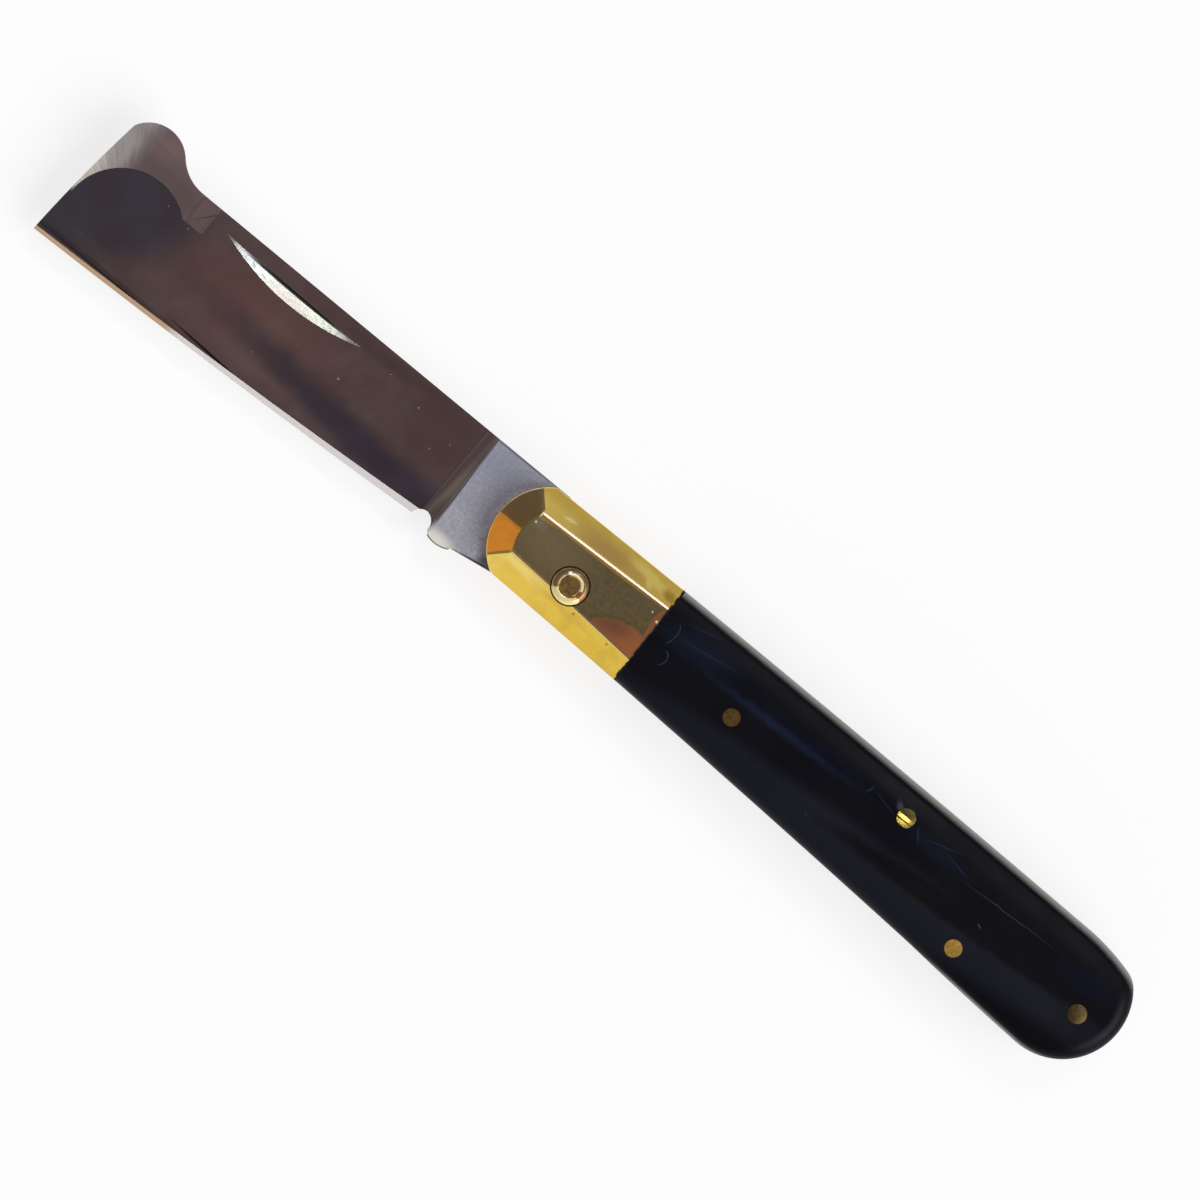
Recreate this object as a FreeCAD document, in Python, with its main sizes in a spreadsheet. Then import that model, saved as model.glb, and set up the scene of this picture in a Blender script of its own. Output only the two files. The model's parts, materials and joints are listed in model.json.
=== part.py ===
import FreeCAD, Part
import os
import re
from math import atan2, hypot, pi, sqrt

import Sketcher
from FreeCAD import Placement, Rotation, Vector

# A grafting knife that folds, lying open on its side. It is drawn from its far side and about the
# pivot: X runs to the blade's end, Y to the back of the blade, and Z out of the side that it lies on
# from its middle plane. Each piece is then turned over, which leaves the blade's edge towards Y.
# Lengths are in millimetres and angles in degrees, and a share has no unit.
SIZES = {
    # The handle's outline
    "nose_reach": 9.1,
    "nose_bulge": 3.87,
    "front_rise": 8.75,
    "front_drop": 4.95,
    "spine_radius": 2800.0,
    "shoulder_inset": 10.3,
    "shoulder_rise": 7.05,
    "shoulder_radius": 30.0,
    "corner_inset": 3.6,
    "corner_fall": 1.2,
    "corner_radius": 3.8,
    "corner_depth": 2.5,
    "butt_radius": 9.05,
    "butt_centre_drop": 0.9,
    "butt_low_angle": 87.0,
    "waist_inset": 27.8,
    "waist_drop": 8.6,
    "waist_radius": 500.0,
    "belly_radius": 2600.0,
    "joint_reach": 11.9,
    # The layers of the handle, from the middle plane out
    "blade_thickness": 2.2,
    "side_clearance": 0.05,
    "liner_thickness": 0.8,
    "bolster_thickness": 3.95,
    "scale_proud": 0.25,
    # The bolster's three bevels
    "bevel_angle": 34.5,
    "flat_rise": 5.6,
    "flat_rise_turn": -1.1,
    "flat_drop": 2.65,
    "flat_drop_turn": 4.2,
    "nose_bevel_run": 3.67,
    "nose_top_radius": 6.3,
    "nose_bevel_depth": 1.7,
    "ridge_rounding": 0.8,
    "rim_softening": 0.2,
    # The scale's crown: a flat land along the grip with a round shoulder on each side
    "crown_rise": 1.4,
    "crown_turn": 2.38,
    "land_half_width": 3.4,
    "crown_radius": 11.0,
    "crown_sweep": 38.0,
    "rim_rounding": 1.9,
    # The pivot pin and its raised collars
    "pivot_diameter": 2.75,
    "pivot_clearance": 0.03,
    "pin_clearance": 0.01,
    "pin_chamfer": 0.15,
    "rosette_diameter": 4.8,
    "rosette_round": 0.75,
    "rosette_dip": 0.1,
    "rosette_recess": 0.4,
    "rosette_stand": 0.4,
    "rosette_gap": 0.2,
    # The pins
    "spring_pin_reach": 51.7,
    "spring_pin_rise": 3.6,
    "butt_wall": 0.6,
    "butt_pin_drop": 2.3,
    "shank_diameter": 2.0,
    "head_flare": 0.25,
    "head_depth": 0.6,
    "dome_radius": 9.0,
    "fore_pin_reach": 26.4,
    "fore_pin_drop": 0.25,
    "aft_pin_inset": 23.1,
    "aft_pin_drop": 5.6,
    "scale_pin_diameter": 2.3,
    "foot_flare": 0.35,
    "foot_depth": 0.4,
    "stud_diameter": 1.6,
    "stud_depth": 2.4,
    "stud_clearance": 0.03,
    "fore_stud_inset": 2.9,
    "aft_stud_inset": 3.5,
    "stud_rise": 1.6,
    # The blade's outline
    "blade_reach": 82.0,
    "edge_run_on": 13.0,
    "edge_radius": 1500.0,
    "edge_drop": 7.05,
    "end_radius": 200.0,
    "spur_inset": 6.1,
    "spur_lift": 0.25,
    "spur_radius": 4.7,
    "spur_end_angle": 29.3,
    "spur_back_angle": 11.6,
    "spur_fillet": 6.0,
    "back_step": 0.08,
    "heel_reach": 15.0,
    "heel_drop": 5.8,
    "heel_step_run": 0.2,
    "heel_step_drop": 0.35,
    "kick_width": 3.1,
    "kick_fall": 0.2,
    "kick_radius": 4.0,
    "choil_lead_run": 0.45,
    "choil_lead_rise": 0.6,
    "choil_half_width": 1.5,
    "choil_depth": 1.85,
    "choil_radius": 1.7,
    # The tang, with a flat for the open blade and one for the closed blade
    "swing": 175.0,
    "seat_height": 4.6,
    "cam_rise": 0.8,
    "closed_flat_length": 4.8,
    "spring_reach": 7.0,
    "spring_gap": 0.03,
    # The blade's grinds
    "grind_lift": 1.15,
    "edge_thickness": 0.3,
    "plunge_lead": 0.05,
    "plunge_radius": 1.5,
    "bevel_land": 0.06,
    "bevel_slope": 30.0,
    "bevel_width": 1.8,
    "nick_inset": 31.4,
    "nick_drop": 1.25,
    "nick_width": 2.9,
    "nick_depth": 0.6,
    "nick_wheel_radius": 105.0,
    "nick_turn": 1.9,
    "nick_sweep": 16.0,
    "lifter_inset": 9.0,
    "lifter_centre_drop": 0.5,
    "lifter_radius": 8.1,
    "lifter_run": 8.5,
    "lifter_slope": 2.5,
    "lifter_sweep": 132.0,
    # The backspring
    "spring_relief": 0.33,
    "seat_run": 8.0,
    "relief_run": 1.5,
    "boss_half_width": 2.0,
    "boss_wall": 0.6,
    "boss_slope_run": 4.0,
    "rear_depth": 5.6,
    "block_gap": 0.3,
    "block_length": 7.2,
    # How far a cut runs past the solid that it trims
    "overrun": 3.0,
}

# Sizes that follow from the ones above. The handle is as long as the closed blade needs.
DERIVED = {
    "block_reach": "sqrt(blade_reach^2 + edge_drop^2) + block_gap",
    "handle_reach": "block_reach + block_length",
    "nose_half": "(front_rise + front_drop) / 2",
    "nose_middle": "(front_rise - front_drop) / 2",
    "nose_radius": "(nose_half^2 + nose_bulge^2) / (2 * nose_bulge)",
    "nose_tip": "nose_reach + nose_bulge",
    "nose_top_reach": "nose_tip - nose_bevel_run",
    "butt_middle": "handle_reach - butt_radius",
    "corner_end_rise": "shoulder_rise - corner_depth",
    "well": "blade_thickness / 2 + side_clearance",
    "liner_top": "well + liner_thickness",
    "bolster_top": "liner_top + bolster_thickness",
    "scale_top": "bolster_top + scale_proud",
    "pivot_top": "bolster_top + rosette_stand",
    "edge_middle": "blade_reach + edge_run_on",
    "spur_reach": "blade_reach - spur_inset",
    "spur_rise": "front_rise + spur_lift",
    "grind_rise": "front_rise + grind_lift",
    "grind_slope": "(blade_thickness - edge_thickness) / (grind_rise + edge_drop)",
    "kick_back": "heel_reach + heel_step_run",
    "kick_back_drop": "heel_drop + heel_step_drop",
    "kick_front": "kick_back + kick_width",
    "kick_front_drop": "kick_back_drop + kick_fall",
    "choil_back": "kick_front + choil_lead_run",
    "choil_back_drop": "kick_front_drop - choil_lead_rise",
    "choil_middle": "choil_back + choil_half_width",
    "plunge_reach": "kick_front + plunge_lead",
    "tang_radius": "seat_height + cam_rise",
    "flat_end": "sqrt(tang_radius^2 - seat_height^2)",
}

doc = FreeCAD.newDocument("grafting_knife")
sheet = doc.addObject("Spreadsheet::Sheet", "Sizes")
for row, (alias, number) in enumerate(SIZES.items(), start=1):
    sheet.set("A%d" % row, alias)
    sheet.set("B%d" % row, str(number))
    sheet.setAlias("B%d" % row, alias)
doc.recompute()

# The knife rests with its lowest face on the ground and its middle over the origin.
SHIFT = {
    "x": "(handle_reach - blade_reach) / 2",
    "y": "(spur_rise + spur_radius - butt_radius - butt_centre_drop) / 2",
    "z": "pivot_top",
}

# Turning left, an arc has its centre on the left of the way that the outline is drawn.
LEFT, RIGHT = 1, -1
UP = Vector(0, 0, 1)
HALF_TURN = 180
FULL_TURN = 360
# How far from upright a wall's normal may lean, as a share
NEARLY = 0.01


def sized(formula):
    """Writes out the derived sizes in a formula and names the sheet that holds the others."""
    def full(match):
        word = match.group()
        if word in DERIVED:
            return "(%s)" % sized(DERIVED[word])
        return "Sizes." + word if word in SIZES else word
    return re.sub(r"[a-z]\w*", full, formula)


def value(formula):
    result = sheet.evalExpression(sized(formula))
    return float(getattr(result, "Value", result))


def bind(thing, field, formula):
    thing.setExpression(field, sized(formula))


def new_body(name):
    body = doc.addObject("PartDesign::Body", name)
    body.Label = name
    return body


def new_sketch(body, name, plane, across="0", along="0", out="0", turn_axis=None, turn="0"):
    """A sketch on one of the body's own planes, moved and turned in that plane's own axes."""
    sketch = body.newObject("Sketcher::SketchObject", name)
    origin_plane = next(f for f in body.Origin.OriginFeatures if f.Role == plane)
    sketch.AttachmentSupport = [(origin_plane, "")]
    sketch.MapMode = "FlatFace"
    if turn_axis:
        sketch.AttachmentOffset = Placement(Vector(), Rotation(turn_axis, value(turn)))
        bind(sketch, "AttachmentOffset.Rotation.Angle", turn)
    for field, formula in (("x", across), ("y", along), ("z", out)):
        bind(sketch, "AttachmentOffset.Base." + field, formula)
    return sketch


def hold(sketch, kind, target, formula):
    constraint = Sketcher.Constraint(kind, *target, value(formula))
    index = sketch.addConstraint(constraint)
    bind(sketch, "Constraints[%d]" % index, formula)


def round_edge(start, end, radius, side):
    """The shorter arc between two points, drawn with its centre on the given side."""
    run = end - start
    reach = sqrt(max(radius ** 2 - (run.Length / 2) ** 2, 0))
    square = Vector(-run.y, run.x, 0).normalize() * side
    centre = (start + end) / 2 + square * reach
    first, last = (start, end) if side == LEFT else (end, start)
    angles = [atan2(p.y - centre.y, p.x - centre.x) for p in (first, last)]
    if angles[1] < angles[0]:
        angles[1] += 2 * pi
    return Part.ArcOfCircle(Part.Circle(centre, UP, radius), *angles)


def outline(sketch, corners):
    """Draws a closed outline. A corner is (x, y), or (x, y, radius, side) where a round edge follows it."""
    points = [Vector(value(c[0]), value(c[1]), 0) for c in corners]
    ends = []
    for i, corner in enumerate(corners):
        start, end = points[i], points[(i + 1) % len(corners)]
        if len(corner) == 2:
            index = sketch.addGeometry(Part.LineSegment(start, end), False)
            ends.append((index, 1, 2))
        else:
            index = sketch.addGeometry(round_edge(start, end, value(corner[2]), corner[3]), False)
            ends.append((index, 1, 2) if corner[3] == LEFT else (index, 2, 1))
    for i, (index, first, last) in enumerate(ends):
        following = ends[(i + 1) % len(ends)]
        sketch.addConstraint(Sketcher.Constraint("Coincident", index, last, following[0], following[1]))
    for (index, first, last), corner in zip(ends, corners):
        hold(sketch, "DistanceX", (-1, 1, index, first), corner[0])
        hold(sketch, "DistanceY", (-1, 1, index, first), corner[1])
        if len(corner) == 4:
            hold(sketch, "Radius", (index,), corner[2])


def circle(sketch, x, y, diameter):
    centre = Vector(value(x), value(y), 0)
    index = sketch.addGeometry(Part.Circle(centre, UP, value(diameter) / 2), False)
    hold(sketch, "DistanceX", (-1, 1, index, 3), x)
    hold(sketch, "DistanceY", (-1, 1, index, 3), y)
    hold(sketch, "Diameter", (index,), diameter)


def pad(body, sketch, length, symmetric=False):
    feature = body.newObject("PartDesign::Pad", sketch.Name + "_pad")
    feature.Profile = sketch
    feature.SideType = "Symmetric" if symmetric else "One side"
    bind(feature, "Length", length)
    doc.recompute()
    return feature


def check_cut(body, feature, volume):
    doc.recompute()
    if not feature.Shape.Volume < volume:
        raise ValueError(body.Label + ": " + feature.Name + " cuts nothing")
    return feature


def pocket(body, sketch, length=None, reverse=False):
    """Cuts a sketch into the body: right through both ways, or to a length."""
    volume = body.Tip.Shape.Volume
    feature = body.newObject("PartDesign::Pocket", sketch.Name + "_pocket")
    feature.Profile = sketch
    if length is None:
        feature.Type = "ThroughAll"
        feature.SideType = "Symmetric"
    else:
        feature.Reversed = reverse
        bind(feature, "Length", length)
    return check_cut(body, feature, volume)


def groove(body, sketch, axis, angle, symmetric=False, reverse=False):
    volume = body.Tip.Shape.Volume
    feature = body.newObject("PartDesign::Groove", sketch.Name + "_groove")
    feature.Profile = sketch
    feature.ReferenceAxis = (sketch, [axis])
    feature.Midplane = symmetric
    feature.Reversed = reverse
    bind(feature, "Angle", angle)
    return check_cut(body, feature, volume)


def revolve(body, sketch):
    feature = body.newObject("PartDesign::Revolution", sketch.Name + "_turned")
    feature.Profile = sketch
    feature.ReferenceAxis = (sketch, ["V_Axis"])
    feature.Angle = FULL_TURN
    doc.recompute()
    return feature


def chosen_edges(shape, test):
    return [i for i, edge in enumerate(shape.Edges, start=1) if test(edge)]


def dress(body, kind, size_name, formula, test):
    """Rounds or chamfers the edges that pass the test."""
    base = body.Tip
    picked = ["Edge%d" % i for i in chosen_edges(base.Shape, test)]
    if not picked:
        raise ValueError(body.Label + ": no edge to " + kind)
    feature = body.newObject("PartDesign::" + kind, body.Label + "_" + kind.lower())
    feature.Base = (base, picked)
    bind(feature, size_name, formula)
    doc.recompute()
    return feature


def middle(edge):
    first, last = edge.ParameterRange
    return edge.valueAt((first + last) / 2)


def is_wall(face):
    """Whether a face stands upright."""
    u_low, u_high, v_low, v_high = face.ParameterRange
    return abs(face.normalAt((u_low + u_high) / 2, (v_low + v_high) / 2).z) < NEARLY


def settle(thing):
    """Turns a finished piece over about the knife's length and moves it to the knife's own frame."""
    thing.Placement = Placement(Vector(), Rotation(Vector(1, 0, 0), HALF_TURN))
    for field, formula in SHIFT.items():
        bind(thing, "Placement.Base." + field, formula)


def mirrored(source, name):
    """The mirror image of a piece, through the knife's middle plane."""
    twin = doc.addObject("Part::Mirroring", name)
    twin.Label = name
    twin.Source = source
    twin.Normal = UP
    bind(twin, "Base.z", SHIFT["z"])
    return twin


HANDLE = [
    ("nose_reach", "-front_drop", "nose_radius", LEFT),
    ("nose_reach", "front_rise", "spine_radius", LEFT),
    ("shoulder_inset - handle_reach", "shoulder_rise", "shoulder_radius", LEFT),
    ("corner_inset - handle_reach", "shoulder_rise - corner_fall", "corner_radius", LEFT),
    ("-butt_middle - sqrt(butt_radius^2 - (corner_end_rise + butt_centre_drop)^2)",
     "corner_end_rise", "butt_radius", LEFT),
    ("-butt_middle + butt_radius * cos(butt_low_angle)",
     "-butt_radius * sin(butt_low_angle) - butt_centre_drop", "waist_radius", LEFT),
    ("waist_inset - handle_reach", "-waist_drop", "belly_radius", RIGHT),
]


def handle_layer(body, floor, top):
    """A layer of the whole handle between two heights."""
    sketch = new_sketch(body, body.Label + "_outline", "XY_Plane", out=floor)
    outline(sketch, HANDLE)
    pad(body, sketch, "%s - (%s)" % (top, floor))


def trim(body, far):
    """Cuts a handle layer away between the joint of bolster and scale and a far end."""
    left, right = sorted((far, "-joint_reach"), key=value)
    sketch = new_sketch(body, body.Label + "_joint", "XY_Plane")
    outline(sketch, [
        (left, "-handle_reach"), (right, "-handle_reach"), (right, "handle_reach"), (left, "handle_reach")])
    pocket(body, sketch)


def cross_sketch(body, name, y, z, turn):
    """A sketch across the handle at its joint, turned a little about the upright axis."""
    return new_sketch(body, name, "YZ_Plane", across=y, along=z, out="-joint_reach",
                      turn_axis=Vector(0, 1, 0), turn=turn)


def hole(body, name, x, y, diameter, floor="0", depth=None):
    """A hole right through, or one that starts at a height and goes up from there."""
    sketch = new_sketch(body, body.Label + "_" + name, "XY_Plane", out=floor)
    circle(sketch, x, y, diameter)
    pocket(body, sketch, depth, reverse=True)


def shoulder(body, side, name):
    """Takes the scale's top down in a round shoulder on one side of its land."""
    sketch = cross_sketch(body, body.Label + "_" + name, "crown_rise", "scale_top", "crown_turn")
    sign = "" if side == LEFT else "-"
    near = sign + "land_half_width"
    far = sign + "(land_half_width + crown_radius * sin(crown_sweep))"
    out = sign + "(land_half_width + crown_radius * sin(crown_sweep) + overrun)"
    foot = "-crown_radius * (1 - cos(crown_sweep))"
    outline(sketch, [
        (out, "overrun"), (near, "overrun"), (near, "0", "crown_radius", -side), (far, foot), (out, foot)])
    pocket(body, sketch)


# The places of the pins and studs that pass through a liner
SPRING_PIN = ("-spring_pin_reach", "spring_pin_rise")
BUTT_PIN = ("-block_reach - butt_wall - shank_diameter / 2", "-butt_pin_drop")
FORE_PIN = ("-fore_pin_reach", "-fore_pin_drop")
AFT_PIN = ("aft_pin_inset - handle_reach", "-aft_pin_drop")
FORE_STUD = ("nose_reach - fore_stud_inset", "stud_rise")
AFT_STUD = ("aft_stud_inset - joint_reach", "stud_rise")


def make_liner():
    body = new_body("lower_liner")
    handle_layer(body, "well", "liner_top")
    hole(body, "pivot_hole", "0", "0", "pivot_diameter + 2 * pin_clearance")
    for name, place in (("spring_hole", SPRING_PIN), ("butt_hole", BUTT_PIN)):
        hole(body, name, *place, "shank_diameter + 2 * pin_clearance")
    for name, place, diameter in (
            ("fore_hole", FORE_PIN, "scale_pin_diameter"), ("aft_hole", AFT_PIN, "scale_pin_diameter"),
            ("fore_stud_hole", FORE_STUD, "stud_diameter"), ("aft_stud_hole", AFT_STUD, "stud_diameter")):
        hole(body, name, *place, diameter + " + 2 * pin_clearance")
        hole(body, name + "_seat", *place, diameter + " + 2 * (foot_flare + pin_clearance)", "well",
             "foot_depth")
    return body


def make_bolster():
    body = new_body("bolster_block")
    handle_layer(body, "liner_top", "bolster_top")
    trim(body, "-handle_reach - overrun")
    for sign, name, place, turn in (
            ("", "rise", "flat_rise", "flat_rise_turn"), ("-", "drop", "-flat_drop", "flat_drop_turn")):
        sketch = cross_sketch(body, "bolster_bevel_" + name, place, "bolster_top", turn)
        width = "(front_rise + front_drop)"
        outline(sketch, [
            ("0", "0"), (sign + width, "-%s * tan(bevel_angle)" % width), (sign + width, "overrun"),
            ("0", "overrun")])
        pocket(body, sketch)
    hole(body, "pivot_hole", "0", "0", "pivot_diameter + 2 * pin_clearance")
    hole(body, "rosette_seat", "0", "0", "rosette_diameter + 2 * rosette_gap",
         "bolster_top - rosette_recess", "rosette_recess + overrun")
    for name, place in (("fore_stud_hole", FORE_STUD), ("aft_stud_hole", AFT_STUD)):
        hole(body, name, *place, "stud_diameter + 2 * stud_clearance", "liner_top",
             "stud_depth + stud_clearance")

    # The nose: a leaning cone between the rim's arc and the flat's smaller arc, run on above and below
    nose = new_body("bolster_nose")
    rings = []
    for name, depth in (("foot", "(bolster_thickness + overrun)"), ("top", "(-overrun)")):
        share = "%s / nose_bevel_depth" % depth
        radius = "(nose_top_radius + (nose_radius - nose_top_radius) * %s)" % share
        tip = "(nose_top_reach + nose_bevel_run * %s)" % share
        centre = "(%s - %s)" % (tip, radius)
        sketch = new_sketch(nose, "nose_" + name, "XY_Plane", out="bolster_top - " + depth)
        low, high = "nose_middle - " + radius, "nose_middle + " + radius
        outline(sketch, [
            ("-joint_reach - overrun", low), (centre, low, radius, LEFT), (tip, "nose_middle", radius, LEFT),
            (centre, high), ("-joint_reach - overrun", high)])
        rings.append(sketch)
    loft = nose.newObject("PartDesign::AdditiveLoft", "nose_cone")
    loft.Profile = rings[0]
    loft.Sections = rings[1:]
    loft.Ruled = True
    doc.recompute()

    bolster = doc.addObject("Part::Common", "bolster_form")
    bolster.Base = body
    bolster.Tool = nose
    bolster.Refine = True
    doc.recompute()

    rounded = doc.addObject("Part::Fillet", "lower_bolster")
    rounded.Label = "lower_bolster"
    rounded.Base = bolster
    rim = value("bolster_top - nose_bevel_depth + pin_clearance")
    foot = value("liner_top + rim_softening")
    rear = value("-joint_reach + pin_clearance")
    seat = value("rosette_diameter / 2 + 2 * rosette_gap")

    def is_outer(edge):
        """Whether an edge is neither in the joint with the scale nor on a hole."""
        spot = middle(edge)
        behind = all(vertex.X < rear for vertex in edge.Vertexes)
        return not behind and not edge.isClosed() and hypot(spot.x, spot.y) > seat

    def on_ridge(edge):
        """Whether an edge parts the flat and the bevels from each other."""
        return is_outer(edge) and middle(edge).z > rim

    def on_rim(edge):
        """Whether an edge parts a bevel from the wall below it."""
        faces = bolster.Shape.ancestorsOfType(edge, Part.Face)
        walls = [is_wall(face) for face in faces]
        return is_outer(edge) and middle(edge).z > foot and len(faces) == 2 and walls.count(True) == 1

    rounded.Edges = [
        (i, value(size), value(size))
        for size, test in (("ridge_rounding", on_ridge), ("rim_softening", on_rim))
        for i in chosen_edges(bolster.Shape, test)]
    doc.recompute()
    return rounded


def make_scale():
    body = new_body("lower_scale")
    handle_layer(body, "liner_top", "scale_top")
    trim(body, "nose_tip + overrun")
    shoulder(body, LEFT, "back_shoulder")
    shoulder(body, RIGHT, "belly_shoulder")
    shape = body.Tip.Shape

    def on_rim(edge):
        """Whether an edge parts the top from the side wall, behind the joint with the bolster."""
        spot = middle(edge)
        if spot.z < value("liner_top + rim_rounding") or spot.x > value("-joint_reach - pin_clearance"):
            return False
        return [is_wall(face) for face in shape.ancestorsOfType(edge, Part.Face)].count(True) == 1

    dress(body, "Fillet", "Radius", "rim_rounding", on_rim)
    for name, place in (("spring_hole", SPRING_PIN), ("butt_hole", BUTT_PIN)):
        hole(body, name, *place, "shank_diameter + 2 * pin_clearance")
        hole(body, name + "_seat", *place, "shank_diameter + 2 * (head_flare + pin_clearance)",
             "scale_top - head_depth", "head_depth + overrun")
    for name, place in (("fore_hole", FORE_PIN), ("aft_hole", AFT_PIN)):
        hole(body, name, *place, "scale_pin_diameter + 2 * pin_clearance")
    return body


def turned_piece(name, place, half_profile):
    """A piece turned about an upright axis from the right half of its section."""
    body = new_body(name)
    sketch = new_sketch(body, name + "_section", "XZ_Plane", across=place[0], out="-(%s)" % place[1])
    outline(sketch, half_profile)
    revolve(body, sketch)
    return body


def make_pivot():
    edge = "pivot_diameter / 2"
    rim = edge + " - pin_chamfer"
    neck = "pivot_top - pin_chamfer"
    return turned_piece("pivot_pin", ("0", "0"), [
        ("0", "-pivot_top"), (rim, "-pivot_top"), (edge, "-(%s)" % neck),
        (edge, neck), (rim, "pivot_top"), ("0", "pivot_top")])


def make_rosette():
    bore = "pivot_diameter / 2 + pin_clearance"
    foot = "bolster_top - rosette_recess"
    return turned_piece("lower_rosette", ("0", "0"), [
        (bore, foot), ("rosette_diameter / 2", foot),
        ("rosette_diameter / 2", "bolster_top", "rosette_round", LEFT), (bore, "pivot_top - rosette_dip")])


def make_through_pin(name, place):
    """A pin through the whole handle, with a head spread into each scale and a low dome on it."""
    shank, head = "shank_diameter / 2", "shank_diameter / 2 + head_flare"
    seat = "(scale_top - head_depth + pin_clearance)"
    dome = "(scale_top + dome_radius - sqrt(dome_radius^2 - (%s)^2))" % head
    return turned_piece(name, place, [
        ("0", "-" + dome, "dome_radius", LEFT), (head, "-scale_top"), (head, "-" + seat), (shank, "-" + seat),
        (shank, seat), (head, seat), (head, "scale_top", "dome_radius", LEFT), ("0", dome)])


def make_scale_pin(name, place):
    """A short pin with its foot in the liner, filed off level with the scale's crown."""
    shank, foot = "scale_pin_diameter / 2", "scale_pin_diameter / 2 + foot_flare"
    ledge = "well + foot_depth - pin_clearance"
    body = turned_piece(name, place, [
        ("0", "well"), (foot, "well"), (foot, ledge), (shank, ledge),
        (shank, "scale_top"), ("0", "scale_top")])
    if place is AFT_PIN:
        shoulder(body, RIGHT, "belly_shoulder")
    return body


def make_stud(name, place):
    """A blind stud that holds the bolster to its liner from inside."""
    shank, foot = "stud_diameter / 2", "stud_diameter / 2 + foot_flare"
    ledge = "well + foot_depth - pin_clearance"
    top = "liner_top + stud_depth"
    return turned_piece(name, place, [
        ("0", "well"), (foot, "well"), (foot, ledge), (shank, ledge), (shank, top), ("0", top)])


def edge_height(x):
    """The height of the cutting edge at a distance along the blade."""
    return "edge_radius - edge_drop - sqrt(edge_radius^2 - (%s - edge_middle)^2)" % x


def opened(x, y):
    """Where a point of the closed blade lies once the blade has swung open."""
    return ("(%s) * cos(swing) - (%s) * sin(swing)" % (x, y),
            "(%s) * sin(swing) + (%s) * cos(swing)" % (x, y))


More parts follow.
